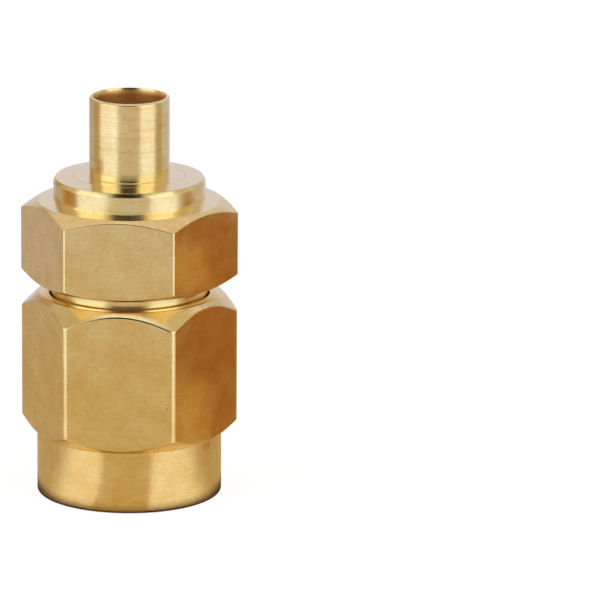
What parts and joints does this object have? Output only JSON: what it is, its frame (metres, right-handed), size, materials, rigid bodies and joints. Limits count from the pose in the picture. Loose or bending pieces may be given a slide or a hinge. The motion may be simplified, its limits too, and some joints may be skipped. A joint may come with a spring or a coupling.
{
  "type": "sma connector",
  "caption": "Straight coaxial plug: hexagonal coupling nut that turns and floats on a hexagonal body, centre pin in the mouth, thin cable tube behind.",
  "frame": {"origin": "centre of the coupling nut's mouth, in the plane of its rim", "axes": "+Z along the common axis, from the mouth to the cable end; -Y square to a flat of both hexagons; the snap ring's opening faces -Y"},
  "size_m": [0.0092, 0.008, 0.0171],
  "materials": {
    "nut_plating": "satin gold plating on brass",
    "body_plating": "satin gold plating on brass",
    "spigot_plating": "satin gold plating on brass",
    "contact_plating": "polished gold plating on brass",
    "ring_bronze": "bare spring bronze",
    "gasket_rubber": "matt red silicone rubber",
    "bead_plastic": "waxy white fluoroplastic"
  },
  "bodies": {
    "shell": {"connector_body": "body_plating", "face_gasket": "gasket_rubber", "front_insulator": "bead_plastic", "rear_insulator": "bead_plastic", "centre_contact": "contact_plating", "cable_spigot": "spigot_plating"},
    "ring": {"snap_ring": "ring_bronze"},
    "nut": {"coupling_nut": "nut_plating"}
  },
  "joints": [
    {"name": "nut_float", "type": "slide", "parent": "shell", "child": "ring", "axis": [0, 0, -1], "range_m": [0, 0.00025]},
    {"name": "nut_spin", "type": "hinge", "parent": "ring", "child": "nut", "pos_m": [0, 0, 0.005], "axis": [0, 0, 1], "continuous": true}
  ]
}
